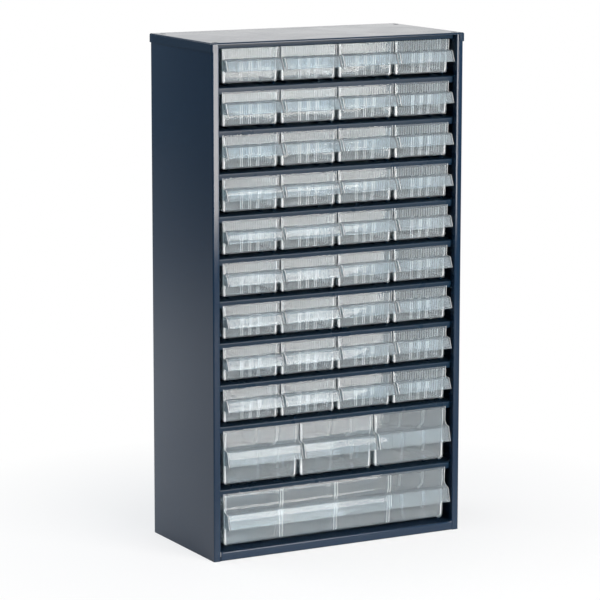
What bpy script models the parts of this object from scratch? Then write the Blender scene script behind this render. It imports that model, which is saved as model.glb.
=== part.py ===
"""Small-parts cabinet: a case of folded sheet steel with forty plastic drawers.

Nine rows of four small drawers stand over a row of three medium drawers and
one large drawer.  Every drawer slides straight out of the front on two runners
pressed into the shelf below it, until two lugs at its rear meet the lip of the
shelf above.

Units are metres, X runs to the right, Y to the back and Z up.  The origin is
on the floor, under the middle of the whole object, drawer handles included.
"""

from math import cos, pi, sin

import bpy

# ---------------------------------------------------------------- dimensions

CASE_WIDTH = 0.306          # over the top cover
CASE_DEPTH = 0.150          # over the top cover
CASE_HEIGHT = 0.552
HANDLE_PROUD = 0.0055       # how far the handles stand in front of the case

SHEET = 0.0008              # steel thickness
GAP = 0.0003                # clearance between pieces that touch
COVER_OVERHANG = SHEET + GAP

POST_WIDTH = 0.0080         # front flanges of the sides
POST_RETURN = 0.0070        # their inward return, front to back
REAR_FLANGE = 0.0120
BEND = 0.0018               # outside bend radius of the sheet

COVER_SKIRT = 0.0095
COVER_HEM = 0.0016          # depth of the cover's front edge
COVER_CORNER = 0.0060       # the skirt's wrap round each front corner
COVER_HOLE_RADIUS = 0.0033
COVER_HOLE_SIDES = 16
COVER_HOLE_X = 0.1445
COVER_HOLE_DEPTHS = (0.0090, 0.1330)

LIP_SETBACK = 0.0065        # shelf lips, behind the case front
LIP_HEIGHT = 0.0044
LIP_LEAN = 0.0010           # how far the bottom of a lip is set behind its top
BASE_RAIL = 0.0096          # height of the bottom rail
BASE_RETURN = 0.0150        # flanges that the case stands on
LIP_SHEET_REAR = 0.0160     # how far back the folded lip's own sheet reaches
LIP_SHEET_OVERLAP = 0.0100  # front edge of the full-width shelf sheet
LIP_EDGE = 0.0005           # chamfer on the folded edges of a lip
TAB_FROM = 0.0120           # side tabs of a shelf, behind the case front
TAB_DROP = 0.0070
TAB_REAR_CLEAR = 0.0040

SMALL_ROWS = 9
SMALL_PITCH = 0.0450
BIG_PITCH = 0.0686
MEDIUM_LIP_TOP = 0.0762     # top of the shelf below the medium drawers
SMALL_LIP_TOP = MEDIUM_LIP_TOP + BIG_PITCH

RUNNER_WIDTH = 0.0030       # two under each drawer, pressed up out of the shelf
RUNNER_HEIGHT = 0.0035      # above the top of the shelf and its lip
RUNNER_SPREAD = 0.62        # middle of a runner, as a share of the drawer's half width
RIDGE_WIDTH = 0.0022        # guide ridges between the drawers
RIDGE_HEIGHT = 0.0060       # above the top of the shelf, so 2.5 mm above a drawer's floor
RIDGE_CLEAR = 0.0010
RIDGE_FROM = 0.0200
RIDGE_TO = 0.1380

WALL = 0.0012               # drawer wall
DRAWER_REAR = 0.1445        # rear of a closed drawer, behind the case front
DRAWER_BAND = 0.0068        # face of the wide upper band
DRAWER_FACE = 0.0086        # face of the front below the handle
DRAWER_DRAFT = 0.0009       # each side, top to bottom
DRAWER_BEVEL = 0.0022       # bottom edges
BAND_PROUD = 0.0008         # the band is wider than the body, each side
HANDLE_TOP_DEPTH = -0.0010  # front of the handle's top, behind the case front
BROW_TURN = 0.0020          # rounding where the ledge turns down into the handle's plate
JOIN = 0.0002               # how far pieces of one moulding run into each other
LUG_HEIGHT = 0.0034
LUG_FROM = 0.1336
LUG_TO = 0.1410

# width is that of the band; pitch is from drawer to drawer; ledge and grip are the
# handle's top and bottom below the rim; cove is the radius where the ledge meets the band
SMALL = {"width": 0.0672, "pitch": 0.0693, "height": 0.0364, "count": 4,
         "ledge": 0.0116, "grip": 0.0234, "cove": 0.0010}
MEDIUM = {"width": 0.0904, "pitch": 0.0923, "height": 0.0600, "count": 3,
          "ledge": 0.0210, "grip": 0.0374, "cove": 0.0060}
LARGE = {"width": 0.2750, "pitch": 0.2750, "height": 0.0581, "count": 1,
         "ledge": 0.0210, "grip": 0.0374, "cove": 0.0060}

FRONT = -(CASE_DEPTH + HANDLE_PROUD) / 2 + HANDLE_PROUD
BODY_FRONT = FRONT + COVER_OVERHANG
BACK = FRONT + CASE_DEPTH
BODY_BACK = BACK - COVER_OVERHANG
BODY_HALF = CASE_WIDTH / 2 - COVER_OVERHANG
INNER_HALF = BODY_HALF - SHEET - GAP
LIP_HALF = BODY_HALF - POST_WIDTH - GAP
PANEL_FRONT = BODY_BACK - 2 * SHEET - GAP
SHELF_BACK = PANEL_FRONT - GAP
COVER_UNDER = CASE_HEIGHT - SHEET
SIDE_TOP = COVER_UNDER - GAP
TOP_SHEET = SIDE_TOP - GAP
TOP_LIP_BOTTOM = SMALL_LIP_TOP + SMALL_ROWS * SMALL_PITCH - LIP_HEIGHT

STEEL = ((0.020, 0.040, 0.075, 1.0), 0.34, 0.0)
COVER_STEEL = ((0.026, 0.044, 0.075, 1.0), 0.28, 0.0)
PLASTIC = ((0.72, 0.77, 0.78, 1.0), 0.34, 0.0)


# ------------------------------------------------------------------- helpers

def clear_scene():
    for old in list(bpy.data.objects):
        bpy.data.objects.remove(old, do_unlink=True)


def add_object(name, mesh):
    thing = bpy.data.objects.new(name, mesh)
    bpy.context.scene.collection.objects.link(thing)
    return thing


def finish(thing, look):
    """Give a sub-part its own Principled material."""
    colour, roughness, metallic = look
    material = bpy.data.materials.new(thing.name + "_finish")
    material.use_nodes = True
    shader = material.node_tree.nodes["Principled BSDF"]
    shader.inputs["Base Color"].default_value = colour
    shader.inputs["Roughness"].default_value = roughness
    shader.inputs["Metallic"].default_value = metallic
    for slot in thing.material_slots:
        slot.link = "OBJECT"
    if not thing.material_slots:
        thing.data.materials.append(None)
        thing.material_slots[0].link = "OBJECT"
    thing.material_slots[0].material = material


def prism(name, outline, axis, low, high):
    """Extrude a 2D outline along X, Y or Z; its points are the other two coordinates in order."""
    def place(point, along):
        if axis == "X":
            return (along, point[0], point[1])
        if axis == "Y":
            return (point[0], along, point[1])
        return (point[0], point[1], along)

    count = len(outline)
    area = sum(outline[i - 1][0] * outline[i][1] - outline[i][0] * outline[i - 1][1]
               for i in range(count))
    if area < 0:
        outline = list(reversed(outline))
    vertices = [place(point, low) for point in outline]
    vertices += [place(point, high) for point in outline]
    faces = [tuple(reversed(range(count))), tuple(range(count, 2 * count))]
    for i in range(count):
        j = (i + 1) % count
        faces.append((i, j, count + j, count + i))
    if axis == "Y":
        faces = [tuple(reversed(face)) for face in faces]
    mesh = bpy.data.meshes.new(name)
    mesh.from_pydata(vertices, [], faces)
    mesh.validate()
    return add_object(name, mesh)


def box(name, low, high):
    outline = [(low[1], low[2]), (high[1], low[2]), (high[1], high[2]), (low[1], high[2])]
    return prism(name, outline, "X", low[0], high[0])


def merged_mesh(base, tools, operation):
    """Apply Booleans of the tool solids to the base and return the resulting mesh."""
    for tool in tools:
        modifier = base.modifiers.new(operation, "BOOLEAN")
        modifier.operation = operation
        modifier.solver = "EXACT"
        modifier.object = tool
    graph = bpy.context.evaluated_depsgraph_get()
    mesh = bpy.data.meshes.new_from_object(base.evaluated_get(graph))
    name = base.name
    for used in [base] + list(tools):
        bpy.data.objects.remove(used, do_unlink=True)
    mesh.name = name
    return mesh


def combined(name, base, tools, operation="UNION"):
    return add_object(name, merged_mesh(base, tools, operation))


def depth(value):
    """World Y of a distance behind the case front."""
    return FRONT + value


# ---------------------------------------------------------------- steel case

def side(name, hand):
    """One side: a wall with a front post, its inward return and a rear flange."""
    outer = BODY_HALF
    inner = BODY_HALF - SHEET
    post_inner = BODY_HALF - POST_WIDTH
    rear_inner = BODY_HALF - REAR_FLANGE
    chamfer = BEND * 0.6
    outline = [
        (outer, BODY_FRONT + BEND),
        (outer - chamfer / 2, BODY_FRONT + chamfer / 2),
        (outer - BEND, BODY_FRONT),
        (post_inner + chamfer, BODY_FRONT),
        (post_inner, BODY_FRONT + chamfer),
        (post_inner, BODY_FRONT + POST_RETURN),
        (post_inner + SHEET, BODY_FRONT + POST_RETURN),
        (post_inner + SHEET, BODY_FRONT + SHEET),
        (inner, BODY_FRONT + SHEET),
        (inner, BODY_BACK - SHEET),
        (rear_inner, BODY_BACK - SHEET),
        (rear_inner, BODY_BACK),
        (outer - chamfer, BODY_BACK),
        (outer, BODY_BACK - chamfer),
    ]
    outline = [(hand * x, y) for x, y in outline]
    panel = prism(name, outline, "Z", 0.0, SIDE_TOP)
    finish(panel, STEEL)


def back_panel():
    """Flat sheet held inside the rear flanges of the sides."""
    panel = box("back_panel",
                (-INNER_HALF, PANEL_FRONT, SHEET),
                (INNER_HALF, PANEL_FRONT + SHEET, TOP_SHEET - SHEET - GAP))
    finish(panel, STEEL)


def top_cover():
    """Lift-off cover: a sheet with a skirt, open along the front between its corners."""
    half = CASE_WIDTH / 2
    rim = CASE_HEIGHT - COVER_SKIRT
    cut = BEND * 0.3
    edge = [
        (-half, rim), (half, rim), (half, CASE_HEIGHT - BEND),
        (half - cut, CASE_HEIGHT - cut), (half - BEND, CASE_HEIGHT),
        (-half + BEND, CASE_HEIGHT), (-half + cut, CASE_HEIGHT - cut),
        (-half, CASE_HEIGHT - BEND),
    ]
    blank = prism("top_cover", edge, "Y", FRONT, BACK)
    hollow = box("hollow",
                 (-half + SHEET, FRONT + SHEET, rim - SHEET),
                 (half - SHEET, BACK - SHEET, COVER_UNDER))
    mouth = box("mouth",
                (-half + COVER_CORNER, FRONT - SHEET, rim - SHEET),
                (half - COVER_CORNER, FRONT + 2 * SHEET, CASE_HEIGHT - COVER_HEM))
    holes = []
    for x in (-COVER_HOLE_X, COVER_HOLE_X):
        for back in COVER_HOLE_DEPTHS:
            holes.append(hole_cutter((x, depth(back)), COVER_HOLE_RADIUS))
    cover = combined("top_cover", blank, [hollow, mouth] + holes, "DIFFERENCE")
    finish(cover, COVER_STEEL)


def hole_cutter(centre, radius):
    turns = [2 * pi * i / COVER_HOLE_SIDES for i in range(COVER_HOLE_SIDES)]
    ring = [(centre[0] + radius * cos(turn), centre[1] + radius * sin(turn)) for turn in turns]
    return prism("hole", ring, "Z", COVER_UNDER - SHEET, CASE_HEIGHT + SHEET)


def top_panel():
    """Inner top sheet with the lip that the top row's lugs stop against."""
    face = depth(LIP_SETBACK)
    outline = [
        (face + LIP_LEAN, TOP_LIP_BOTTOM), (face + LIP_LEAN + SHEET, TOP_LIP_BOTTOM),
        (face + SHEET, TOP_SHEET - SHEET), (depth(LIP_SHEET_REAR), TOP_SHEET - SHEET),
        (depth(LIP_SHEET_REAR), TOP_SHEET), (face + LIP_EDGE, TOP_SHEET),
        (face, TOP_SHEET - LIP_EDGE),
    ]
    lip = prism("lip", outline, "X", -LIP_HALF, LIP_HALF)
    sheet = box("sheet",
                (-INNER_HALF, depth(LIP_SHEET_OVERLAP), TOP_SHEET - SHEET),
                (INNER_HALF, SHELF_BACK, TOP_SHEET))
    panel = combined("top_panel", sheet, [lip] + side_tabs(TOP_SHEET))
    finish(panel, STEEL)


def side_tabs(sheet_top):
    """Flanges folded down at both ends of a sheet, by which the sides hold it."""
    tabs = []
    for hand in (-1, 1):
        edges = sorted((hand * INNER_HALF, hand * (INNER_HALF - SHEET)))
        tabs.append(box("tab",
                        (edges[0], depth(TAB_FROM), sheet_top - TAB_DROP),
                        (edges[1], SHELF_BACK - TAB_REAR_CLEAR, sheet_top - SHEET / 2)))
    return tabs


def bead(top, x, width, height):
    """A straight raised bead along a shelf, sloping at both ends."""
    outline = [
        (depth(RIDGE_FROM), top - SHEET / 2), (depth(RIDGE_TO), top - SHEET / 2),
        (depth(RIDGE_TO) - height, top + height), (depth(RIDGE_FROM) + height, top + height),
    ]
    return prism("bead", outline, "X", x - width / 2, x + width / 2)


def beads(top, kind):
    """Two runners under each drawer, a guide ridge between drawers and one at each end."""
    body_half = kind["width"] / 2 - BAND_PROUD - DRAWER_DRAFT
    centres = [(i - (kind["count"] - 1) / 2) * kind["pitch"] for i in range(kind["count"])]
    outer = centres[-1] + body_half + RIDGE_CLEAR + RIDGE_WIDTH / 2
    guides = [-outer] + [(a + b) / 2 for a, b in zip(centres, centres[1:])] + [outer]
    spread = body_half * RUNNER_SPREAD
    runners = [centre + hand * spread for centre in centres for hand in (-1, 1)]
    made = [bead(top, x, RIDGE_WIDTH, RIDGE_HEIGHT) for x in guides]
    return made + [bead(top, x, RUNNER_WIDTH, RUNNER_HEIGHT) for x in runners]


def shelf(name, top, kind):
    """Folded shelf: a lip that leans back from its top edge, side tabs, runners and guides."""
    face = depth(LIP_SETBACK)
    bottom = top - LIP_HEIGHT
    rear = depth(LIP_SHEET_REAR)
    outline = [
        (rear, top), (face + LIP_EDGE, top), (face, top - LIP_EDGE), (face + LIP_LEAN, bottom),
        (face + LIP_LEAN + SHEET, bottom), (face + SHEET, top - SHEET), (rear, top - SHEET),
    ]
    lip = prism("lip", outline, "X", -LIP_HALF, LIP_HALF)
    sheet = box("sheet",
                (-INNER_HALF, depth(LIP_SHEET_OVERLAP), top - SHEET),
                (INNER_HALF, SHELF_BACK, top))
    finish(combined(name, sheet, [lip] + side_tabs(top) + beads(top, kind)), STEEL)


def bottom_shelf():
    """Lowest shelf, folded down at the front and rear into flanges the case stands on."""
    face = BODY_FRONT
    top = BASE_RAIL
    front_lap = depth(LIP_SHEET_REAR)
    rear_lap = SHELF_BACK - BASE_RETURN * 0.7
    front = [
        (front_lap, top), (face + LIP_EDGE, top), (face, top - LIP_EDGE), (face, 0.0),
        (face + BASE_RETURN, 0.0), (face + BASE_RETURN, SHEET), (face + SHEET, SHEET),
        (face + SHEET, top - SHEET), (front_lap, top - SHEET),
    ]
    rear = [
        (rear_lap, top), (SHELF_BACK, top), (SHELF_BACK, 0.0),
        (SHELF_BACK - BASE_RETURN, 0.0), (SHELF_BACK - BASE_RETURN, SHEET),
        (SHELF_BACK - SHEET, SHEET), (SHELF_BACK - SHEET, top - SHEET),
        (rear_lap, top - SHEET),
    ]
    sheet = box("sheet",
                (-INNER_HALF, depth(LIP_SHEET_OVERLAP), top - SHEET),
                (INNER_HALF, SHELF_BACK - 2 * SHEET, top))
    folds = [
        prism("front_fold", front, "X", -LIP_HALF, LIP_HALF),
        prism("rear_fold", rear, "X", -INNER_HALF, INNER_HALF),
    ]
    finish(combined("bottom_shelf", sheet, folds + side_tabs(top) + beads(top, LARGE)), STEEL)


# ------------------------------------------------------------------- drawers

def tray_mesh(name, kind):
    """Open tray with drafted walls and bevelled bottom edges, as five rings of corners.

    The rim is at Z = 0 and Y is the distance behind the case front.
    """
    half = kind["width"] / 2 - BAND_PROUD
    height = kind["height"]

    def ring(inset, z):
        x = half - inset
        front = DRAWER_FACE + inset
        rear = DRAWER_REAR - inset
        return [(-x, front, z), (x, front, z), (x, rear, z), (-x, rear, z)]

    rings = [
        ring(DRAWER_DRAFT + DRAWER_BEVEL, -height),
        ring(DRAWER_DRAFT, -height + DRAWER_BEVEL),
        ring(0.0, 0.0),
        ring(WALL, 0.0),
        ring(WALL + DRAWER_DRAFT, -height + DRAWER_BEVEL + WALL / 2),
        ring(WALL + DRAWER_DRAFT + DRAWER_BEVEL / 2, -height + WALL),
    ]
    vertices = [corner for points in rings for corner in points]
    faces = [(3, 2, 1, 0)]
    for level in range(len(rings) - 1):
        for i in range(4):
            j = (i + 1) % 4
            a = 4 * level
            b = a + 4
            faces.append((a + i, a + j, b + j, b + i))
    top = 4 * (len(rings) - 1)
    faces.append((top, top + 1, top + 2, top + 3))
    mesh = bpy.data.meshes.new(name)
    mesh.from_pydata(vertices, [], faces)
    return mesh


def handle(kind):
    """Hooded grip over the whole width: a sloping plate under a ledge, open below."""
    half = kind["width"] / 2
    ledge = -kind["ledge"]
    grip = -kind["grip"]
    cove = kind["cove"]
    lip = -HANDLE_PROUD
    root = DRAWER_FACE + WALL / 2
    brow = HANDLE_TOP_DEPTH
    turn = BROW_TURN
    outer = [
        (root, ledge + cove), (DRAWER_BAND, ledge + cove),
        (DRAWER_BAND - turn, ledge + cove * 0.35),
        (brow + turn, ledge), (brow, ledge - turn * 0.2),
        (brow - turn * 0.6, ledge - turn), (lip, grip), (root, grip),
    ]
    inner = [
        (root + WALL, ledge - WALL), (brow + turn * 0.8, ledge - WALL),
        (brow, ledge - WALL - turn * 0.7), (lip + WALL, grip), (lip + WALL, grip - WALL),
        (root + WALL, grip - WALL),
    ]
    block = prism("block", outer, "X", -half, half)
    pocket = prism("pocket", inner, "X", -half + WALL, half - WALL)
    return combined("handle", block, [pocket], "DIFFERENCE")


def drawer_mesh(name, kind):
    """Tray, wide upper band, hooded handle and two stop lugs as one moulding."""
    half = kind["width"] / 2
    tray = add_object("tray", tray_mesh("tray", kind))
    band = box("band",
               (-half, DRAWER_BAND, -kind["ledge"] + JOIN),
               (half, DRAWER_FACE + WALL / 2, -JOIN / 2))
    lugs = []
    for hand in (-1, 1):
        wall = half - BAND_PROUD
        edges = sorted((hand * (wall - WALL * 0.1), hand * (wall - WALL * 0.9)))
        lugs.append(box("lug",
                        (edges[0], LUG_FROM, -LUG_HEIGHT / 2),
                        (edges[1], LUG_TO, LUG_HEIGHT)))
    mesh = merged_mesh(tray, [band, handle(kind)] + lugs, "UNION")
    mesh.name = name
    return mesh


def drawer_row(kind, mesh, shelf_top, names):
    """Set a row of like drawers on their runners."""
    rim = shelf_top + RUNNER_HEIGHT + GAP + kind["height"]
    for i, name in enumerate(names):
        x = (i - (kind["count"] - 1) / 2) * kind["pitch"]
        drawer = add_object(name, mesh)
        drawer.location = (x, FRONT, rim)
        finish(drawer, PLASTIC)


# --------------------------------------------------------------------- build

def build():
    clear_scene()
    side("left_side", -1)
    side("right_side", 1)
    back_panel()
    top_cover()
    top_panel()
    bottom_shelf()

    for row in range(1, SMALL_ROWS + 1):
        shelf("shelf_%02d" % row, SMALL_LIP_TOP + (SMALL_ROWS - row) * SMALL_PITCH, SMALL)
    shelf("shelf_10", MEDIUM_LIP_TOP, MEDIUM)

    small = drawer_mesh("small_drawer", SMALL)
    for row in range(1, SMALL_ROWS + 1):
        top = SMALL_LIP_TOP + (SMALL_ROWS - row) * SMALL_PITCH
        names = ["small_drawer_r%d_c%d" % (row, column) for column in range(1, 5)]
        drawer_row(SMALL, small, top, names)
    medium = drawer_mesh("medium_drawer", MEDIUM)
    drawer_row(MEDIUM, medium, MEDIUM_LIP_TOP,
               ["medium_drawer_%d" % column for column in range(1, 4)])
    large = drawer_mesh("large_drawer", LARGE)
    drawer_row(LARGE, large, BASE_RAIL, ["large_drawer"])


build()
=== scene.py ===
"""Small-parts cabinet: a case of folded navy sheet steel round forty clear moulded drawers.

Every piece is a closed skin worked out as whole arrays of points, and takes its
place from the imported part.  Lengths are in metres, X runs to the right, Y to the
back and Z up.
"""

import bmesh
import bpy
import numpy as np
from mathutils import Matrix, Vector


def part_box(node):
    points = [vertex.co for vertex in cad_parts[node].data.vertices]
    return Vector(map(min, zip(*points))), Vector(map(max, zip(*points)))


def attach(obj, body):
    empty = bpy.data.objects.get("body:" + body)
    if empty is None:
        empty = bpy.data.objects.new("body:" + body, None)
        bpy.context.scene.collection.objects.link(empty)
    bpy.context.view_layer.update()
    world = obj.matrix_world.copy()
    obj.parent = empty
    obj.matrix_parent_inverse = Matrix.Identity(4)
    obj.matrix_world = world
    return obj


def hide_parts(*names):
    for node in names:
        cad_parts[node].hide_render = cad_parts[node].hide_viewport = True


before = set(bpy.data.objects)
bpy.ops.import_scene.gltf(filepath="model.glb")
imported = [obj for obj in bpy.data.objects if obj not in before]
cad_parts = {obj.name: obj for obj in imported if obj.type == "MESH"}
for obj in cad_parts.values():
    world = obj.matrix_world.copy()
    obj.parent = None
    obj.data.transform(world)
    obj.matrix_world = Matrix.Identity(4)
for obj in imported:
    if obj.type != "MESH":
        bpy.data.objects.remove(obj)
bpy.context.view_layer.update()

MM = 0.001

# ------------------------------------------------------------ measures of the steel

SHEET = 0.8 * MM            # thickness of the steel
BEND = 1.8 * MM             # outside radius of the main folds
SMALL_BEND = 1.2 * MM       # and of the small ones
POST_WIDTH = 8.0 * MM
POST_RETURN = 7.0 * MM
REAR_FLANGE = 12.0 * MM
TAB_DROP = 7.0 * MM         # flanges that hold a shelf to the sides
LIP_CURL = 3.0 * MM         # the ends of a lip are rolled back over this length
LIP_CURL_DEPTH = 2.0 * MM
RAIL_FILLET = 3.0 * MM      # rounded inner corners of the bottom rail
RAIL_SHARE = 0.45           # the fillets rise over this share of the rail, from this share up
BASE_RETURN = 15.0 * MM     # depth of the two flanges that the case stands on
LIP_HALF = 143.6 * MM       # half length of the shelf lips between the posts
LIP_LEAN = 1.0 * MM         # the bottom of a lip is set behind its top
LIP_REACH = 8.4 * MM        # up to here behind the case front a shelf counts as lip
WIDE_FROM = 10.3 * MM       # from here back a shelf is as wide as the case, behind the posts
TOP_LIP = 5.2 * MM          # height of the lip of the inner top
TAB_FOOT = 9.0 * MM         # width of the part of a tab that lies under its shelf
TAB_ENDS = (12.0 * MM, 4.0 * MM)    # front and rear ends of a tab, from the case front and rear
RUNNER = (1.5 * MM, 3.5 * MM)   # half width and height of the runners under a drawer
RUNNER_SPREAD = 0.62        # place of a runner, as a share of half the drawer's width
RIDGE = (1.1 * MM, 6.0 * MM)    # half width and height of the guides between drawers
GUIDE_GAP = 2.1 * MM        # middle of an outer guide, beside the drawer's body
BEAD_SPAN = (20.0 * MM, 138.0 * MM)     # front and rear ends of runners and guides
BEAD_RAMP = 6.0 * MM        # they rise from the deck over this length
BEAD_FOOT, BEAD_CROWN = 1.25, 0.6   # feet and crown of the rounded shoulder, in half widths
CASE_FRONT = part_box("top_cover")[0].y
COVER_CORNER = 6.0 * MM     # the skirt wraps this far round the front corners
COVER_LEVELS = 7            # rings over the bend of the cover
COVER_HOLE_RADIUS = 3.3 * MM
COVER_HOLE_X = 144.5 * MM
COVER_HOLE_DEPTHS = (9.0 * MM, 133.0 * MM)
HOLE_PATCH = 5.0 * MM       # half side of the square that is fitted round a hole

# ---------------------------------------------------------- measures of the drawers

WALL = 1.2 * MM
DRAFT = 0.9 * MM            # each side, rim to floor
BAND_PROUD = 0.8 * MM       # the upper band is wider than the body, each side
BAND_SET = 12.3 * MM        # face of the band behind the tip of the grip
FACE_SET = 14.1 * MM        # face of the lower front behind the tip of the grip
BROW_SET = 4.5 * MM         # upper edge of the grip behind its tip
PLATE_REAR = 14.7 * MM      # rear edge of the front plate behind the tip of the grip
LUG_HEIGHT = 3.4 * MM       # stop lugs above the rim
LUG_FROM_REAR = (10.9 * MM, 3.5 * MM)   # front and rear ends of a lug, from the drawer's rear
LUG_SLOPE = 0.3 * MM
RIB_DEPTH = 1.0 * MM
FRONT_RIB = np.array([-0.55, -0.22, 0.22, 0.55]) * MM   # across a front rib: foot, crown, crown, foot
SIDE_RIB = np.array([-0.5, 0.0, 0.5]) * MM              # and across a side rib
HAIR = 0.05 * MM            # between two stations that make a sharp step
BODY_CORNER = 2.4 * MM      # upright corners of the body at the floor
INSIDE_CORNER = 1.2 * MM    # upright corners inside
PLATE_CORNER = 0.5 * MM     # upright corners of the front plate

# ledge: underside of the band; grip: lower edge of the handle, both below the rim;
# pitch_count_half: drawers of the row from middle to middle, their number, half width of a body
SMALL = {
    "pitch_count_half": (69.3 * MM, 4, 33.6 * MM - BAND_PROUD - DRAFT),
    "ledge": 11.6 * MM, "grip": 23.4 * MM, "cove": 1.0 * MM, "corner": 3.0 * MM,
    "front_ribs": (-12.25, -9.75, -1.25, 1.25, 9.75, 12.25), "ribs_in_band": 0.0,
    "side_ribs": tuple(range(22, 132, 5)),
}
MEDIUM = {
    "pitch_count_half": (92.3 * MM, 3, 45.2 * MM - BAND_PROUD - DRAFT),
    "ledge": 21.0 * MM, "grip": 37.4 * MM, "cove": 6.0 * MM, "corner": 5.0 * MM,
    "front_ribs": (), "ribs_in_band": 1.0,
    "side_ribs": (48.5, 51.5, 96.5, 99.5),
}
LARGE = {
    "pitch_count_half": (275.0 * MM, 1, 137.5 * MM - BAND_PROUD - DRAFT),
    "ledge": 21.0 * MM, "grip": 37.4 * MM, "cove": 6.0 * MM, "corner": 5.0 * MM,
    "front_ribs": (-70.2, -67.2, -1.5, 1.5, 67.2, 70.2), "ribs_in_band": 1.0,
    "side_ribs": (48.5, 51.5, 96.5, 99.5),
}


# ------------------------------------------------------------------- mesh helpers

def make_piece(name, parts, material, body, nodes, crease=35.0, second=None):
    """Join closed skins, given as (points, faces), into one smooth-shaded piece of the object.

    second is another material and one flag for each face that takes it.
    """
    offsets = np.cumsum([0] + [len(points) for points, _ in parts])
    points = np.concatenate([points for points, _ in parts])
    faces = [[int(i) + int(offset) for i in face]
             for (_, part), offset in zip(parts, offsets) for face in part]
    mesh = bpy.data.meshes.new(name)
    mesh.from_pydata(points.tolist(), [], faces)
    mesh.materials.append(material)
    if second:
        mesh.materials.append(second[0])
        mesh.polygons.foreach_set("material_index", second[1].astype(np.int32))
    work = bmesh.new()
    work.from_mesh(mesh)
    bmesh.ops.remove_doubles(work, verts=work.verts, dist=0.002 * MM)
    bmesh.ops.dissolve_degenerate(work, edges=work.edges, dist=0.001 * MM)
    bmesh.ops.recalc_face_normals(work, faces=work.faces)
    work.to_mesh(mesh)
    work.free()
    mesh.shade_smooth()
    mesh.set_sharp_from_angle(angle=np.radians(crease))
    piece = bpy.data.objects.new(name, mesh)
    bpy.context.scene.collection.objects.link(piece)
    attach(piece, body)
    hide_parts(*nodes)
    return piece


def quads(index):
    """Faces of a grid of point numbers: each cell joins its four neighbours."""
    cells = [index[:-1, :-1], index[:-1, 1:], index[1:, 1:], index[1:, :-1]]
    return np.stack(cells, axis=-1).reshape(-1, 4)


def sheet_skin(top, bottom):
    """A closed sheet from two grids one thickness apart: both faces and the strip round the edge."""
    rows, columns = top.shape[:2]
    upper = np.arange(rows * columns).reshape(rows, columns)
    lower = upper + rows * columns
    border = np.concatenate([upper[0, :-1], upper[:-1, -1], upper[-1, :0:-1], upper[:0:-1, 0]])
    ahead = np.roll(border, -1)
    strip = np.stack([ahead, border, border + rows * columns, ahead + rows * columns], axis=-1)
    faces = np.concatenate([quads(upper), quads(lower)[:, ::-1], strip])
    points = np.concatenate([top.reshape(-1, 3), bottom.reshape(-1, 3)])
    return points, faces


def bent_line(points, radii, steps=6):
    """A line of straight runs whose corners are arcs.

    An arc of the corner's radius touches both runs, so it starts the radius times
    the tangent of half the turn before the corner; its heading goes evenly from
    one run to the next.  Returns the points and the unit vectors to the left.
    """
    points = np.array(points, float)
    radii = np.array(radii, float)[:, None]
    run = np.diff(points, axis=0)
    run = run / np.linalg.norm(run, axis=1)[:, None]
    before, after = run[:-1], run[1:]
    cross = before[:, 0] * after[:, 1] - before[:, 1] * after[:, 0]
    turn = np.arctan2(cross, np.sum(before * after, axis=1))[:, None]
    left = np.stack([-before[:, 1], before[:, 0]], axis=1)
    start = points[1:-1] - before * radii * np.tan(np.abs(turn) / 2)
    centre = start + left * np.sign(turn) * radii
    heading = np.arctan2(before[:, 1], before[:, 0])[:, None] + turn * np.linspace(0, 1, steps)
    side = np.stack([-np.sin(heading), np.cos(heading)], axis=-1)
    arcs = centre[:, None] - side * (np.sign(turn) * radii)[:, None]
    first = np.array([[-run[0][1], run[0][0]]])
    last = np.array([[-run[-1][1], run[-1][0]]])
    line = np.concatenate([points[:1], arcs.reshape(-1, 2), points[-1:]])
    return line, np.concatenate([first, side.reshape(-1, 2), last])


def extruded(profile, normals, thickness, axis, stations):
    """A bent sheet: the profile and its copy one thickness inwards, carried along an axis."""
    def carried(line):
        along = np.broadcast_to(np.asarray(stations, float)[None, :], (len(line), len(stations)))
        first = np.broadcast_to(line[:, :1], along.shape)
        second = np.broadcast_to(line[:, 1:], along.shape)
        order = {"X": (along, first, second), "Y": (first, along, second),
                 "Z": (first, second, along)}
        return np.stack(order[axis], axis=-1)

    return sheet_skin(carried(profile), carried(profile - normals * thickness))


# ---------------------------------------------------------------------- materials

def new_group(name, inputs, outputs):
    """An empty shader node group with float inputs (name, value) and outputs (name, kind)."""
    group = bpy.data.node_groups.new(name, "ShaderNodeTree")
    for label, value in inputs:
        socket = group.interface.new_socket(label, in_out="INPUT", socket_type="NodeSocketFloat")
        socket.default_value = value
    for label, kind in outputs:
        group.interface.new_socket(label, in_out="OUTPUT", socket_type=kind)
    return group, group.nodes.new("NodeGroupInput"), group.nodes.new("NodeGroupOutput")


def node(tree, kind, links=(), **settings):
    """Add a node, set its properties, and fill its inputs with values or other nodes' outputs."""
    made = tree.nodes.new(kind)
    for key, value in settings.items():
        setattr(made, key, value)
    for key, value in dict(links).items():
        if isinstance(value, bpy.types.NodeSocket):
            tree.links.new(value, made.inputs[key])
        else:
            made.inputs[key].default_value = value
    return made


def ramp(tree, factor, stops):
    """A colour ramp through (position, colour) stops."""
    made = node(tree, "ShaderNodeValToRGB", {"Fac": factor})
    elements = made.color_ramp.elements
    elements[0].position, elements[0].color = stops[0]
    elements[1].position, elements[1].color = stops[-1]
    for position, colour in stops[1:-1]:
        elements.new(position).color = colour
    return made.outputs["Color"]


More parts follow.
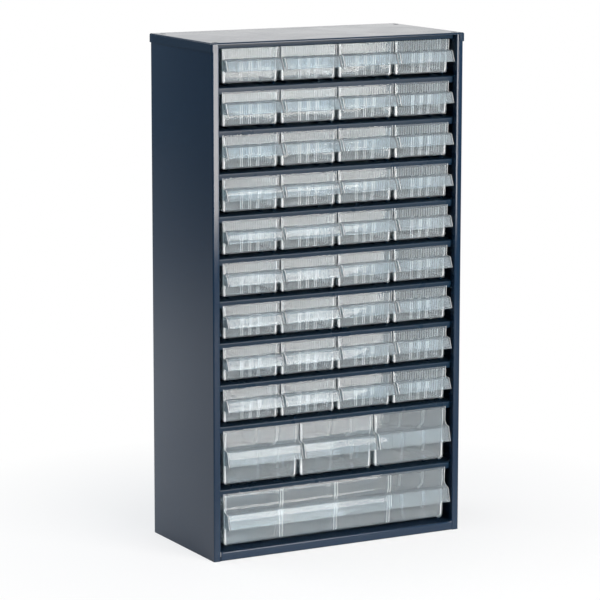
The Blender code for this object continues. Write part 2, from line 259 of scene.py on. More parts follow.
def surface_grain_group():
    """Fine waviness of a sprayed or moulded surface: coarse and fine noise added together."""
    group, given, out = new_group(
        "surface grain",
        [("Cells per Metre", 600.0), ("Fine Share", 0.3)],
        [("Height", "NodeSocketFloat"), ("Speckle", "NodeSocketFloat")])
    place = node(group, "ShaderNodeTexCoord").outputs["Object"]
    coarse = node(group, "ShaderNodeTexNoise",
                  {"Vector": place, "Scale": given.outputs["Cells per Metre"], "Detail": 1.0})
    fine_scale = node(group, "ShaderNodeMath", {0: given.outputs["Cells per Metre"], 1: 3.7},
                      operation="MULTIPLY")
    fine = node(group, "ShaderNodeTexNoise",
                {"Vector": place, "Scale": fine_scale.outputs[0], "Detail": 2.0})
    both = node(group, "ShaderNodeMix",
                {"Factor": given.outputs["Fine Share"], "A": coarse.outputs["Fac"],
                 "B": fine.outputs["Fac"]})
    group.links.new(both.outputs[0], out.inputs["Height"])
    group.links.new(fine.outputs["Fac"], out.inputs["Speckle"])
    return group


def handling_group():
    """Soft smudges and a thin film of dust on faces that look up."""
    group, given, out = new_group(
        "handling marks",
        [("Smudge Size", 14.0), ("Dust", 0.3)],
        [("Smudge", "NodeSocketFloat"), ("Dust", "NodeSocketFloat")])
    place = node(group, "ShaderNodeTexCoord").outputs["Object"]
    cloud = node(group, "ShaderNodeTexNoise",
                 {"Vector": place, "Scale": given.outputs["Smudge Size"], "Detail": 4.0,
                  "Roughness": 0.62, "Distortion": 0.6})
    smudge = node(group, "ShaderNodeMapRange",
                  {"Value": cloud.outputs["Fac"], "From Min": 0.35, "From Max": 0.70})
    normal = node(group, "ShaderNodeNewGeometry").outputs["Normal"]
    upward = node(group, "ShaderNodeSeparateXYZ", {"Vector": normal}).outputs["Z"]
    level = node(group, "ShaderNodeMapRange", {"Value": upward, "From Min": 0.55, "From Max": 0.98})
    specks = node(group, "ShaderNodeTexNoise",
                  {"Vector": place, "Scale": 420.0, "Detail": 3.0, "Roughness": 0.7})
    settled = node(group, "ShaderNodeMapRange",
                   {"Value": specks.outputs["Fac"], "From Min": 0.45, "From Max": 0.75})
    film = node(group, "ShaderNodeMath", {0: level.outputs[0], 1: settled.outputs[0]},
                operation="MULTIPLY")
    dust = node(group, "ShaderNodeMath", {0: film.outputs[0], 1: given.outputs["Dust"]},
                operation="MULTIPLY")
    group.links.new(smudge.outputs[0], out.inputs["Smudge"])
    group.links.new(dust.outputs[0], out.inputs["Dust"])
    return group


GRAIN = surface_grain_group()
HANDLING = handling_group()


def placed(tree, group, **values):
    """A node group in a material, with its inputs set by name."""
    made = tree.nodes.new("ShaderNodeGroup")
    made.node_tree = group
    for key, value in values.items():
        made.inputs[key.replace("_", " ")].default_value = value
    return made


def new_material(name):
    """A material with its Principled shader."""
    material = bpy.data.materials.new(name)
    material.use_nodes = True
    return material, material.node_tree, material.node_tree.nodes["Principled BSDF"]


def powder_coat(name, deep, pale, gloss, cells, dust, ior=1.50):
    """Baked powder coat on steel: navy with faint speckle, orange-peel waviness and soft smudges."""
    material, tree, shader = new_material(name)
    grain = placed(tree, GRAIN, Cells_per_Metre=cells, Fine_Share=0.25)
    marks = placed(tree, HANDLING, Smudge_Size=11.0, Dust=dust)
    paint = ramp(tree, grain.outputs["Speckle"], [(0.30, deep), (0.75, pale)])
    dusty = node(tree, "ShaderNodeMix", {"Factor": marks.outputs["Dust"]}, data_type="RGBA")
    tree.links.new(paint, dusty.inputs["A"])
    dusty.inputs["B"].default_value = (0.42, 0.41, 0.39, 1.0)
    tree.links.new(dusty.outputs["Result"], shader.inputs["Base Color"])
    rough = node(tree, "ShaderNodeMapRange",
                 {"Value": marks.outputs["Smudge"], "To Min": gloss, "To Max": gloss + 0.07})
    tree.links.new(rough.outputs[0], shader.inputs["Roughness"])
    bump = node(tree, "ShaderNodeBump",
                {"Height": grain.outputs["Height"], "Strength": 0.10, "Distance": 0.3 * MM})
    tree.links.new(bump.outputs["Normal"], shader.inputs["Normal"])
    shader.inputs["IOR"].default_value = ior
    return material


def clear_plastic(name, tint, haze, clarity, gloss):
    """Clear moulded plastic: slightly milky, with flow clouds, a waxy grain and faint smudges."""
    material, tree, shader = new_material(name)
    grain = placed(tree, GRAIN, Cells_per_Metre=260.0, Fine_Share=0.35)
    marks = placed(tree, HANDLING, Smudge_Size=24.0, Dust=0.25)
    flow = ramp(tree, marks.outputs["Smudge"], [(0.0, tint), (1.0, haze)])
    tree.links.new(flow, shader.inputs["Base Color"])
    rough = node(tree, "ShaderNodeMapRange",
                 {"Value": marks.outputs["Smudge"], "To Min": gloss, "To Max": gloss + 0.04})
    tree.links.new(rough.outputs[0], shader.inputs["Roughness"])
    bump = node(tree, "ShaderNodeBump",
                {"Height": grain.outputs["Height"], "Strength": 0.01, "Distance": 0.4 * MM})
    tree.links.new(bump.outputs["Normal"], shader.inputs["Normal"])
    shader.inputs["IOR"].default_value = 1.28
    shader.inputs["Transmission Weight"].default_value = clarity
    return material


CASE_PAINT = powder_coat("navy_powder_coat", (0.0048, 0.017, 0.038, 1), (0.009, 0.025, 0.053, 1),
                         0.085, 650.0, 0.05)
# painted shade: the shelves and the inner top take a darker copy of the case's navy, also rougher,
# darkened because their lips stand in shade
SHADED_SHELF_PAINT = powder_coat("navy_shelf_coat_painted_shade", (0.0035, 0.015, 0.031, 1), (0.0065, 0.022, 0.043, 1),
                          0.26, 650.0, 0.05, ior=1.36)
COVER_PAINT = powder_coat("navy_cover_coat", (0.008, 0.020, 0.038, 1), (0.014, 0.030, 0.055, 1),
                          0.13, 520.0, 0.10, ior=1.47)
PLASTIC = clear_plastic("clear_drawer_plastic", (0.805, 0.895, 0.94, 1), (0.865, 0.93, 0.96, 1),
                        0.875, 0.01)
# painted highlight: a whiter, less clear plastic on the ribs and front corners of the drawers,
# standing in for the glints that light strikes from them
RIB_HIGHLIGHT_PLASTIC = clear_plastic("clear_plastic_rib_highlights", (0.95, 0.97, 0.98, 1), (1.0, 1.0, 1.0, 1),
                            0.30, 0.20)


# ---------------------------------------------------------------------- the steel

def side(node_name, hand):
    """A side: return, post, wall and rear flange as one bent sheet, carried upwards."""
    low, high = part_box(node_name)
    outer = high.x if hand > 0 else -low.x
    post_inner = outer - POST_WIDTH
    line, left = bent_line(
        [(post_inner, low.y + POST_RETURN), (post_inner, low.y), (outer, low.y),
         (outer, high.y), (outer - REAR_FLANGE, high.y)],
        [SMALL_BEND, BEND, BEND], steps=7)
    line[:, 0] *= hand
    left[:, 0] *= hand
    skin = extruded(line, -left, SHEET, "Z", np.linspace(low.z, high.z, 12))
    make_piece(node_name + "_panel", [skin], CASE_PAINT, "case", [node_name])


def bead_places(pitch, count, body_half):
    """Rows of (middle, half width, height) for the runners and guide ridges of a shelf."""
    middles = (np.arange(count) - (count - 1) / 2) * pitch
    outer = middles[-1] + body_half + GUIDE_GAP
    guides = np.concatenate([[-outer], (middles[1:] + middles[:-1]) / 2, [outer]])
    runners = (middles[:, None] + np.array([-1, 1]) * body_half * RUNNER_SPREAD).ravel()
    rows = [(x, *RIDGE) for x in guides] + [(x, *RUNNER) for x in runners]
    return np.array(rows)


def shelf_stations(deck_half, beads):
    """Stations across a shelf, as shares of its half width: bead shoulders and rolled lip ends."""
    half = np.array([BEAD_CROWN, 0.95, BEAD_FOOT])
    shoulders = beads[:, 1:2] * np.concatenate([-half[::-1], [0.0], half])
    across = (beads[:, :1] + shoulders).ravel() / deck_half
    roll = np.sin(np.radians([0, 18, 36, 54, 72, 90]))
    ends = 1 - LIP_CURL / LIP_HALF * (1 - roll)
    return np.unique(np.concatenate([across, -ends, ends]).round(7))


def folded_shelf(node_name, front, deck_z, beads, rear=None, rail_top=None):
    """A shelf folded from one sheet.

    The profile runs up its front fold and back along the deck, and is carried
    across; it widens behind the posts.  Beads are pressed up out of the deck: their
    height falls off across as a rounded shoulder and along as a ramp at each end.
    The ends of the lip are rolled back on an ellipse.
    """
    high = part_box(node_name)[1]
    line, left = bent_line(*front)
    back = high.y
    deck = np.array([10.0, 10.6, *(v / MM for v in BEAD_SPAN), 26.0, 80.0, 132.0]) * MM
    deck = np.append(CASE_FRONT + np.sort(deck), back - (BEND if rear else 0.0))
    line = np.concatenate([line[:-1], np.stack([deck, np.full(len(deck), deck_z)], axis=1)])
    left = np.concatenate([left[:-1], np.tile([[0.0, 1.0]], (len(deck), 1))])
    on_deck = np.arange(len(line)) >= len(line) - len(deck)
    if rear:
        tail, tail_left = bent_line(*rear)
        line = np.concatenate([line[:-1], tail[1:]])
        left = np.concatenate([left[:-1], tail_left[1:]])
        on_deck = np.concatenate([on_deck[:-1], np.zeros(len(tail) - 1, bool)])
    stations = shelf_stations(high.x, beads)
    wide = (line[:, 0] > CASE_FRONT + WIDE_FROM)[:, None]
    across = stations[None, :] * np.where(wide, high.x, LIP_HALF)
    over = np.clip(np.abs(across) - (LIP_HALF - LIP_CURL), 0, LIP_CURL) / LIP_CURL
    swing = 1 - np.sqrt(1 - over ** 2)
    on_lip = (line[:, 0] < CASE_FRONT + LIP_REACH)[:, None] & ~wide
    rolled = np.where(on_lip & (rail_top is None), swing * LIP_CURL_DEPTH, 0.0)
    raised = np.zeros_like(across)
    if rail_top:
        rise = rail_top * RAIL_SHARE
        upper = np.clip((line[:, 1] - rise) / rise, 0, 1)[:, None]
        raised = np.where(on_lip, swing * RAIL_FILLET * upper, 0.0)
    away = np.abs(across[:, :, None] - beads[:, 0]) / beads[:, 1]
    shoulder = np.clip((BEAD_FOOT - away) / (BEAD_FOOT - BEAD_CROWN), 0, 1)
    rounded = (shoulder * (2 - shoulder) * beads[:, 2]).max(axis=2, initial=0.0)
    start, stop = (CASE_FRONT + value for value in BEAD_SPAN)
    ramp_up = np.interp(line[:, 0], [start, start + BEAD_RAMP, stop - BEAD_RAMP, stop],
                        [0, 1, 1, 0])
    pressed = rounded * (ramp_up * on_deck)[:, None]

    def surface(offset):
        y = (line - left * offset)[:, :1] + rolled
        z = (line - left * offset)[:, 1:] + pressed + raised
        return np.stack([across, np.broadcast_to(y, across.shape), z], axis=-1)

    skins = [sheet_skin(surface(0.0), surface(SHEET))]
    for hand in (-1, 1):
        tab, tab_left = bent_line(
            [(hand * (high.x - TAB_FOOT), deck_z - SHEET), (hand * high.x, deck_z - SHEET),
             (hand * high.x, deck_z - TAB_DROP)], [SHEET * 1.2])
        skins.append(extruded(tab, tab_left * hand, SHEET * 0.9, "Y",
                              [CASE_FRONT + TAB_ENDS[0], back - TAB_ENDS[1]]))
    # painted shade: all but the bottom shelf take the darkened shelf paint
    make_piece(node_name + "_sheet", skins, CASE_PAINT if rail_top else SHADED_SHELF_PAINT, "case",
               [node_name])


def shelf(node_name, kind):
    """A drawer shelf: its lip, and the deck with runners and guides for one kind of drawer."""
    low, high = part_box(node_name)
    top = high.z - RIDGE[1]
    front = ([(low.y + LIP_LEAN, low.z), (low.y, top), (low.y + 4 * MM, top)], [SMALL_BEND])
    folded_shelf(node_name, front, top, bead_places(*kind["pitch_count_half"]))


def bottom_shelf():
    """The lowest shelf: the case stands on its front rail and rear fold, turned in below."""
    low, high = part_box("bottom_shelf")
    top = high.z - RIDGE[1]
    front = ([(low.y + BASE_RETURN, low.z), (low.y, low.z), (low.y, top),
              (low.y + 9 * MM, top)],
             [SMALL_BEND, SMALL_BEND])
    rear = ([(high.y - 8 * MM, top), (high.y, top), (high.y, low.z),
             (high.y - BASE_RETURN, low.z)],
            [SMALL_BEND, SMALL_BEND])
    folded_shelf("bottom_shelf", front, top, bead_places(*LARGE["pitch_count_half"]), rear,
                 rail_top=top)


def top_panel():
    """Inner top: a plain lip in front of a flat sheet."""
    low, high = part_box("top_panel")
    bottom = high.z - TOP_LIP
    front = ([(low.y + LIP_LEAN, bottom), (low.y, high.z), (low.y + 4 * MM, high.z)],
             [SMALL_BEND])
    folded_shelf("top_panel", front, high.z, np.zeros((0, 3)))


def holed_plate(xs, ys, centres, radius, z):
    """A flat grid with round holes.

    The grid lines cut a square round each hole.  Every point on the square's
    edge is joined to the point of the circle in the same direction.
    """
    grid_x, grid_y = np.meshgrid(xs, ys)
    points = np.stack([grid_x, grid_y, np.full_like(grid_x, z)], axis=-1)
    index = np.arange(grid_x.size).reshape(grid_x.shape)
    cells = quads(index)
    middle = points.reshape(-1, 3)[cells].mean(axis=1)[:, :2]
    apart = np.abs(middle[:, None] - centres[None]).max(axis=2)
    cells = cells[(apart > HOLE_PATCH).all(axis=1)]
    rims = []
    for x, y in centres:
        away = np.abs(points[..., :2] - (x, y)).max(axis=2)
        ring = index[np.isclose(away, HOLE_PATCH)]
        towards = points.reshape(-1, 3)[ring][:, :2] - (x, y)
        angle = np.arctan2(towards[:, 1], towards[:, 0])
        ring = ring[np.argsort(angle)]
        angle = np.sort(angle)
        rims.append((ring, np.stack([x + radius * np.cos(angle), y + radius * np.sin(angle),
                                     np.full_like(angle, z)], axis=1)))
    return points.reshape(-1, 3), cells, rims


def top_cover():
    """Lift-off cover.

    From the edge of a flat, holed plate, rings run outwards over a quarter-circle
    bend and down the skirt.  The skirt is short along the open front and deep
    round the sides, the rear and the wraps of the front corners.
    """
    low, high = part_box("top_cover")
    flat_x = high.x - BEND
    front, rear = low.y + BEND, high.y - BEND
    centres = np.array([(x, low.y + depth) for x in (-COVER_HOLE_X, COVER_HOLE_X)
                        for depth in COVER_HOLE_DEPTHS])
    patch = np.linspace(-HOLE_PATCH, HOLE_PATCH, 7)
    wrap = high.x - COVER_CORNER
    xs = np.concatenate([[-flat_x], -COVER_HOLE_X + patch, [-100 * MM, 0, 100 * MM],
                         COVER_HOLE_X + patch, [flat_x], [-wrap, -wrap + HAIR],
                         [wrap - HAIR, wrap]])
    ys = np.concatenate([[front], low.y + COVER_HOLE_DEPTHS[0] + patch, [0.0],
                         low.y + COVER_HOLE_DEPTHS[1] + patch, [rear]])
    xs, ys = np.unique(xs.round(8)), np.unique(ys.round(8))
    corner_turn = np.radians([-90, -67.5, -45, -22.5, 0])
    edges = [
        np.stack([xs, np.full_like(xs, front)], axis=1),
        np.stack([np.full_like(ys, flat_x), ys], axis=1),
        np.stack([xs[::-1], np.full_like(xs, rear)], axis=1),
        np.stack([np.full_like(ys, -flat_x), ys[::-1]], axis=1),
    ]
    corners = [(flat_x, front), (flat_x, rear), (-flat_x, rear), (-flat_x, front)]
    spots, turns = [], []
    for number, (edge, corner) in enumerate(zip(edges, corners)):
        facing = np.radians(90 * number - 90)
        spots += [edge[1:-1], np.tile(corner, (5, 1))]
        turns += [np.full(len(edge) - 2, facing), corner_turn + np.radians(90 * number)]
    spots, turns = np.concatenate(spots), np.concatenate(turns)
    outward = np.stack([np.cos(turns), np.sin(turns)], axis=1)
    open_front = (turns < np.radians(-89.9)) & (np.abs(spots[:, 0]) < wrap - 0.02 * MM)
    drop = np.where(open_front, BEND + 0.1 * MM, high.z - low.z)

    def shell(inset):
        bend = BEND - inset
        sweep = np.radians(np.linspace(0, 90, COVER_LEVELS))[:, None]
        reach = np.concatenate([bend * np.sin(sweep) + 0 * turns, [bend + 0 * turns]])
        fall = np.concatenate([bend * (1 - np.cos(sweep)) + 0 * turns, [drop - inset]])
        plan = spots[None] + outward[None] * reach[..., None]
        return np.concatenate([plan, (high.z - inset - fall)[..., None]], axis=-1)

    outer, inner = shell(0.0), shell(SHEET)
    closed = [np.concatenate([grid, grid[:, :1]], axis=1) for grid in (outer, inner)]
    index = np.arange(closed[0][..., 0].size).reshape(closed[0].shape[:2])
    parts = [(grid.reshape(-1, 3), quads(index)) for grid in closed]
    hem = np.stack([closed[0][-1], closed[1][-1]])
    parts.append((hem.reshape(-1, 3), quads(np.arange(hem[..., 0].size).reshape(2, -1))))
    rims = []
    for z in (high.z, high.z - SHEET):
        points, cells, holes = holed_plate(xs, ys, centres, COVER_HOLE_RADIUS, z)
        parts.append((points, cells))
        for ring, circle in holes:
            band = np.stack([points[ring], circle])
            band = np.concatenate([band, band[:, :1]], axis=1)
            parts.append((band.reshape(-1, 3),
                          quads(np.arange(band[..., 0].size).reshape(2, -1))))
        rims.append([circle for _, circle in holes])
    for upper, lower in zip(*rims):
        wall = np.stack([upper, lower])
        wall = np.concatenate([wall, wall[:, :1]], axis=1)
        parts.append((wall.reshape(-1, 3), quads(np.arange(wall[..., 0].size).reshape(2, -1))))
    make_piece("top_cover_lid", parts, COVER_PAINT, "case", ["top_cover"])


# -------------------------------------------------------------------- the drawers

def columns_round_tray(kind, half, tip, rear):
    """Stations round a drawer, as arrays that say how each one is placed.

    share_x is its share of the half width less the corner radius, turn_x and
    turn_y its outward direction, on_front and on_rear say which end sets its Y,
    and side_y is its own Y on a side.  proud marks the front plate, open the
    stations inside the grip, edge its two upright corners, and rib_front, rib_side
    and lug what stands there.
    """
    keys = ("share_x", "turn_x", "turn_y", "on_front", "on_rear", "side_y", "proud", "open",
            "rib_front", "rib_side", "lug", "edge")

    def block(count, **values):
        made = {key: np.zeros(count) for key in keys}
        for key, value in values.items():
            made[key] = np.broadcast_to(np.asarray(value, float), (count,))
        return made

    ribs = np.array(kind["front_ribs"], float) * MM
    rib_x = (ribs[:, None] + FRONT_RIB).ravel()
    rib_up = np.tile([0.0, 1.0, 1.0, 0.0], len(ribs))
    web = half - WALL
    plain = np.array([-web, -web + HAIR, web - HAIR, web, 0.5 * half, -0.5 * half])
    front_x = np.concatenate([rib_x, plain])
    front_rib = np.concatenate([rib_up, np.zeros(len(plain))])
    order = np.argsort(front_x)
    front_x, front_rib = front_x[order], front_rib[order]
    end = block(len(front_x), share_x=front_x / half, turn_y=-1.0, on_front=1.0, proud=1.0,
                open=np.abs(front_x) < web - 0.01 * MM, rib_front=front_rib)

    side_ribs = np.array(kind["side_ribs"], float) * MM + CASE_FRONT
    rib_y = (side_ribs[:, None] + SIDE_RIB).ravel()
    lug = rear - np.array([LUG_FROM_REAR[0] + LUG_SLOPE, LUG_FROM_REAR[0],
                           LUG_FROM_REAR[1], LUG_FROM_REAR[1] - LUG_SLOPE])
    plate = np.array([tip + PLATE_REAR, tip + PLATE_REAR + HAIR])
    side_y = np.concatenate([plate, rib_y, lug])
    up = np.concatenate([[0.0, 0.0], np.tile([0.0, 1.0, 0.0], len(side_ribs)), np.zeros(4)])
    lugs = np.concatenate([np.zeros(2 + len(rib_y)), [0.0, 1.0, 1.0, 0.0]])
    belongs = np.concatenate([[1.0], np.zeros(len(side_y) - 1)])
    run = dict(side_y=side_y, rib_side=up, lug=lugs, proud=belongs)

    corner = np.radians(np.linspace(-90, 0, 5))
    blocks = [
        end,
        block(5, share_x=1.0, turn_x=np.cos(corner), turn_y=np.sin(corner), on_front=1.0,
              proud=1.0, edge=1.0),
        block(len(side_y), share_x=1.0, turn_x=1.0, **run),
        block(5, share_x=1.0, turn_x=np.cos(corner[::-1]), turn_y=-np.sin(corner[::-1]),
              on_rear=1.0),
    ]
    rear_x = front_x[::-1]
    blocks.append(block(len(rear_x), share_x=rear_x / half, turn_y=1.0, on_rear=1.0,
                        rib_front=front_rib[::-1]))
    mirrored = []
    for part in (blocks[3], blocks[2], blocks[1]):
        back = {key: value[::-1].copy() for key, value in part.items()}
        back["share_x"], back["turn_x"] = -back["share_x"], -back["turn_x"]
        mirrored.append(back)
    blocks += mirrored
    return {key: np.concatenate([part[key] for part in blocks]) for key in keys}


def drawer(node_name, kind):
    """A drawer as one closed skin, a grid of rings against stations round the tray.

    Below the rim its walls lean in evenly, by the draft from rim to floor.

    The rings start at the edge of the underside, round its corner, and rise up the
    outside.  At the grip they run up the wall, forward under the ledge, down the
    back of the plate, round its lip and up its face, back over the ledge and the
    cove and up the band.  Stations in the end webs run straight forward under the
    web instead, and stations on the sides just climb.  The last rings go over the
    rim and down the inside to the floor, pushed inwards where a rib stands.  The
    ribs and the upright corners of the front take the whiter, less clear rib
    plastic, a painted highlight that stands in for the glints on ribs and edges,
    and so does the wall behind the grip where a front rib stands.
    """
    low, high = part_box(node_name)
    half = (high.x - low.x) / 2
    centre_x = (high.x + low.x) / 2
    rim = high.z - LUG_HEIGHT
    height = rim - low.z
    tip = low.y
    band, face, brow = tip + BAND_SET, tip + FACE_SET, tip + BROW_SET
    ledge, grip = -kind["ledge"], -kind["grip"]
    cove, round_off = kind["cove"], kind["corner"]
    body = half - BAND_PROUD
    rows = []

    def ring(z, y, width, radius, **more):
        row = {"z": z, "y": y, "web_y": y, "web_z": z, "side_z": z, "rear": high.y,
               "width": width, "radius": radius, "proud": 0.0, "rib_front": 0.0,
               "rib_side": 0.0, "lug": 0.0, "stripe": 0.0}
        row.update(more)
        rows.append(row)

    def drafted(z):
        return DRAFT * -z / height

    # underside corner and lower wall
    for angle in np.radians(np.linspace(0, 90, 6)):
        inset = round_off * (1 - np.sin(angle))
        z = -height + round_off * (1 - np.cos(angle))
        total = drafted(z) + inset
        ring(z, face + total, body - total, max(BODY_CORNER - inset, 0.6 * MM),
             rear=high.y - total)
    ring(grip, face + drafted(grip), body - drafted(grip), 2.0 * MM, rear=high.y - drafted(grip))

    # round the grip: (Y, Z) of the open stations, and Y of the stations under the webs
    under = ledge - WALL
    open_path = [
        (face, grip + 0.3 * MM), (face, under - 1.0 * MM), (face - 0.3 * MM, under - 0.3 * MM),
        (face - 1.0 * MM, under), (brow + 2.4 * MM, under), (brow + 1.2 * MM, under - 0.4 * MM),
        (brow + 0.5 * MM, under - 1.6 * MM), (tip + 1.35 * MM, grip + 0.7 * MM),
        (tip + 1.15 * MM, grip + 0.15 * MM), (tip + 0.65 * MM, grip),
        (tip + 0.15 * MM, grip + 0.25 * MM), (tip, grip + 0.8 * MM),
        (brow - 1.25 * MM, ledge - 3.2 * MM), (brow - 0.85 * MM, ledge - 1.7 * MM),
        (brow, ledge - 0.6 * MM), (brow + 0.9 * MM, ledge - 0.12 * MM),
        (brow + 2.0 * MM, ledge), (band - max(cove, 1.0 * MM), ledge + 0.02 * MM),
    ]
    rings_inside = 9        # the first points of that path are behind the plate
    web_path = np.linspace(face - 0.2 * MM, tip + 1.15 * MM, rings_inside)
    climb = np.linspace(grip + 0.2 * MM, ledge, len(open_path))
    for number, (y, z) in enumerate(open_path):
        inside = number < rings_inside
        # painted highlight: the first two rings behind the plate carry the rib highlight down the
        # wall behind the grip
        ring(z, y, body - drafted(climb[number]), PLATE_CORNER, proud=1.0, side_z=climb[number],
             web_y=web_path[number] if inside else y, web_z=grip if inside else z,
             rear=high.y - drafted(climb[number]), stripe=number < 2)
    for angle in np.radians([30, 60, 90]):
        z = ledge + cove * (1 - np.cos(angle))
        ring(z, band - cove * (1 - np.sin(angle)), body - drafted(z), PLATE_CORNER, proud=1.0,
             rear=high.y - drafted(z))
    ring(-0.5 * MM, band, body, 0.6 * MM, proud=1.0)
    ring(-0.15 * MM, band + 0.12 * MM, body - 0.12 * MM, 0.6 * MM, proud=1.0, lug=1.0,
         rear=high.y - 0.12 * MM)
    ring(0.0, band + 0.45 * MM, body - 0.45 * MM, 0.6 * MM, proud=1.0, lug=1.0,
         rear=high.y - 0.4 * MM)

    # inside
    inner = body - WALL
    ring(0.0, band + WALL - 0.3 * MM, inner + 0.3 * MM, 0.8 * MM, lug=1.0,
         rear=high.y - WALL + 0.3 * MM)
    in_band = kind["ribs_in_band"]
    ring(-0.4 * MM, band + WALL, inner, INSIDE_CORNER, rear=high.y - WALL)
    ring(-1.2 * MM, band + WALL, inner, INSIDE_CORNER, rear=high.y - WALL,
         rib_side=1.0, rib_front=in_band)
    turn_z = ledge + cove * 0.7
    ring(turn_z, band + WALL, inner - drafted(turn_z), INSIDE_CORNER,
         rear=high.y - WALL - drafted(turn_z), rib_side=1.0, rib_front=in_band)
    for z in (ledge - 0.8 * MM, ledge - 1.6 * MM, grip, -height + WALL + 0.8 * round_off):
        ring(z, face + WALL + drafted(z), inner - drafted(z), INSIDE_CORNER,
             rear=high.y - WALL - drafted(z), rib_side=1.0, rib_front=1.0)
    fillet = 0.7 * round_off
    for angle in np.radians([70, 45, 20, 0]):
        inset = fillet * (1 - np.sin(angle))
        z = -height + WALL + fillet * (1 - np.cos(angle))
        total = drafted(z) + inset
        share = np.sin(angle)
        ring(z, face + WALL + total, inner - total, INSIDE_CORNER, rear=high.y - WALL - total,
             rib_side=share, rib_front=share)

    way = {key: np.array([row[key] for row in rows])[:, None] for key in rows[0]}
    stations = columns_round_tray(kind, half, tip, high.y)
    at = {key: value[None, :] for key, value in stations.items()}
    plate = at["on_front"]
    is_side = 1 - at["on_front"] - at["on_rear"]
    width = way["width"] + at["proud"] * way["proud"] * BAND_PROUD
    x = at["share_x"] * (width - way["radius"]) + at["turn_x"] * way["radius"]
    x = x - np.sign(at["share_x"]) * at["rib_side"] * way["rib_side"] * RIB_DEPTH
    front_y = np.where(at["open"] > 0, way["y"], way["web_y"])
    y = plate * (front_y + way["radius"]) + at["on_rear"] * (way["rear"] - way["radius"])
    y = y + at["side_y"] * is_side + at["turn_y"] * way["radius"]
    y = y + at["rib_front"] * way["rib_front"] * RIB_DEPTH * (plate - at["on_rear"])
    z = plate * np.where(at["open"] > 0, way["z"], way["web_z"]) + (1 - plate) * way["side_z"]
    z = z + at["lug"] * way["lug"] * LUG_HEIGHT
    rings = np.stack([x + centre_x, y, z + rim], axis=-1)
    levels, count = rings.shape[:2]
    index = np.arange(levels * count).reshape(levels, count)
    round_about = np.concatenate([index, index[:, :1]], axis=1)
    faces = quads(round_about).tolist() + [index[0][::-1].tolist(), index[-1].tolist()]
    # painted highlight: faces on the ribs, on the front's upright corners and on the wall behind the
    # grip under a front rib take the whiter rib plastic
    rib_highlight_level = np.maximum(at["rib_front"] * np.maximum(way["rib_front"], way["stripe"] * plate),
                        at["rib_side"] * way["rib_side"])
    rib_highlight_level = np.concatenate([rib_highlight_level, rib_highlight_level[:, :1]], axis=1)
    corners = np.stack([rib_highlight_level[:-1, :-1], rib_highlight_level[:-1, 1:], rib_highlight_level[1:, 1:], rib_highlight_level[1:, :-1]])
    edge = np.append(at["edge"][0], at["edge"][0, 0])
    rib_highlight_faces = (corners.max(axis=0) > 0.9) | (np.minimum(edge[1:], edge[:-1]) > 0.9)[None, :]
    rib_highlight_faces = np.append(rib_highlight_faces.ravel(), [False, False])
    make_piece(node_name + "_tray", [(rings.reshape(-1, 3), faces)], PLASTIC, node_name,
               [node_name], second=(RIB_HIGHLIGHT_PLASTIC, rib_highlight_faces))


# ------------------------------------------------------------------ put it together

side("left_side", -1)
side("right_side", 1)
top_cover()
top_panel()
bottom_shelf()
for row in range(1, 10):
    shelf("shelf_%02d" % row, SMALL)
shelf("shelf_10", MEDIUM)
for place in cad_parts["back_panel"].material_slots:
    place.material = CASE_PAINT

for row in range(1, 10):
    for column in range(1, 5):
        drawer("small_drawer_r%d_c%d" % (row, column), SMALL)
for column in range(1, 4):
    drawer("medium_drawer_%d" % column, MEDIUM)
drawer("large_drawer", LARGE)


# -------------------------------------------------------------------------- stage

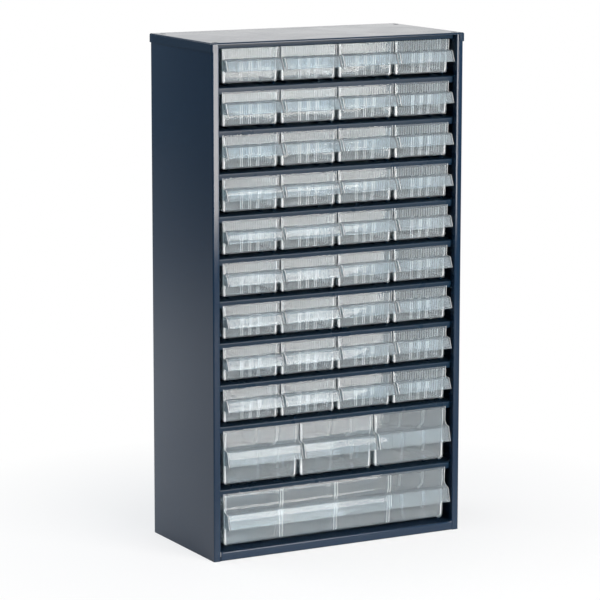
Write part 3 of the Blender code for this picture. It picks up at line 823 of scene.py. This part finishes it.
def floor_and_world():
    """Pale, faintly mottled floor in a white surround.

    The eye sees it melt into the surround further out.  For light that bounces off
    it, the floor in front of the object has painted shade: its colour is darker there,
    as if the light stopped short.
    """
    material, tree, shader = new_material("studio_floor")
    place = node(tree, "ShaderNodeTexCoord").outputs["Object"]
    cloud = node(tree, "ShaderNodeTexNoise", {"Vector": place, "Scale": 3.0, "Detail": 3.0})
    pale = ramp(tree, cloud.outputs["Fac"], [(0.3, (0.86, 0.86, 0.86, 1)),
                                             (0.7, (0.90, 0.90, 0.89, 1))])
    shader.inputs["Roughness"].default_value = 0.7
    distance = node(tree, "ShaderNodeVectorMath", {0: place}, operation="LENGTH")
    far = node(tree, "ShaderNodeMapRange", {"Value": distance.outputs["Value"],
                                            "From Min": 0.20, "From Max": 0.50, "To Min": 0.72})
    path = node(tree, "ShaderNodeLightPath")
    front = node(tree, "ShaderNodeSeparateXYZ", {"Vector": place}).outputs["Y"]
    # painted shade: for all but camera rays the floor's colour is darkened in front of the object
    shaded = node(tree, "ShaderNodeMapRange", {"Value": front, "From Min": -0.35, "From Max": -0.08,
                                               "To Min": 0.25, "To Max": 1.0})
    lit = node(tree, "ShaderNodeMath", {0: shaded.outputs[0], 1: path.outputs["Is Camera Ray"]},
               operation="MAXIMUM")
    dimmed = node(tree, "ShaderNodeVectorMath", {0: pale, "Scale": lit.outputs[0]},
                  operation="SCALE")
    tree.links.new(dimmed.outputs["Vector"], shader.inputs["Base Color"])
    seen = node(tree, "ShaderNodeMath", {0: far.outputs[0], 1: path.outputs["Is Camera Ray"]},
                operation="MULTIPLY")
    glow = node(tree, "ShaderNodeEmission", {"Strength": 1.0})
    blend = node(tree, "ShaderNodeMixShader", {"Fac": seen.outputs[0]})
    tree.links.new(shader.outputs["BSDF"], blend.inputs[1])
    tree.links.new(glow.outputs[0], blend.inputs[2])
    tree.links.new(blend.outputs[0], tree.nodes["Material Output"].inputs["Surface"])
    mesh = bpy.data.meshes.new("floor")
    half = 3.5
    mesh.from_pydata([(-half, -half, 0), (half, -half, 0), (half, half, 0), (-half, half, 0)], [],
                     [(0, 1, 2, 3)])
    mesh.materials.append(material)
    floor = bpy.data.objects.new("floor", mesh)
    bpy.context.scene.collection.objects.link(floor)
    world = bpy.data.worlds.new("studio")
    bpy.context.scene.world = world
    world.use_nodes = True
    tree = world.node_tree
    path = node(tree, "ShaderNodeLightPath")
    shade = node(tree, "ShaderNodeMix", {"Factor": path.outputs["Is Camera Ray"]},
                 data_type="RGBA")
    shade.inputs["A"].default_value = (0.15, 0.21, 0.28, 1)
    shade.inputs["B"].default_value = (1, 1, 1, 1)
    back = tree.nodes["Background"]
    tree.links.new(shade.outputs["Result"], back.inputs["Color"])


def soft_light(name, place, target, size, radiance, colour):
    """An area light, (width, height) in size, of the given radiance, aimed at a point."""
    light = bpy.data.lights.new(name, "AREA")
    light.shape = "RECTANGLE"
    light.size, light.size_y = size
    light.energy = radiance * np.pi * size[0] * size[1]
    light.color = colour
    lamp = bpy.data.objects.new(name, light)
    bpy.context.scene.collection.objects.link(lamp)
    lamp.location = place
    aim = Vector(target) - Vector(place)
    lamp.rotation_euler = aim.to_track_quat("-Z", "Y").to_euler()
    lamp.visible_camera = False


def camera():
    """Long lens, from the left and a little above."""
    data = bpy.data.cameras.new("camera")
    data.lens = 173.3
    data.sensor_width = 36.0
    thing = bpy.data.objects.new("camera", data)
    yaw, pitch, roll = 0.497, 0.172, 0.001
    forward = Vector((np.sin(yaw) * np.cos(pitch), np.cos(yaw) * np.cos(pitch), -np.sin(pitch)))
    right = Vector((np.cos(yaw), -np.sin(yaw), 0.0))
    up = right.cross(forward)
    level = right * np.cos(roll) + up * np.sin(roll)
    upright = up * np.cos(roll) - right * np.sin(roll)
    thing.matrix_world = Matrix.Translation((-1.492381, -2.732867, 0.800946)) @ Matrix(
        (level, upright, -forward)).transposed().to_4x4()
    bpy.context.scene.collection.objects.link(thing)
    bpy.context.scene.camera = thing


floor_and_world()
soft_light("key softbox", (0.30, -1.42, 0.62), (0.0, 0.0, 0.32), (1.0, 1.0), 11.0,
           (1.0, 0.945, 0.90))
soft_light("back card", (1.6, 3.0, 0.9), (0.0, 0.0, 0.5), (3.6, 1.6), 0.84, (1.0, 0.935, 0.86))
soft_light("floor fill", (-0.80, 0.80, 1.1), (-0.62, 0.62, 0.0), (0.9, 0.9), 3.0,
           (0.97, 0.98, 1.0))
soft_light("top fill", (-0.6, -0.6, 2.2), (0.0, 0.0, 0.2), (1.6, 1.6), 1.4, (0.98, 0.99, 1.0))
camera()
bpy.context.scene.view_settings.view_transform = "Standard"
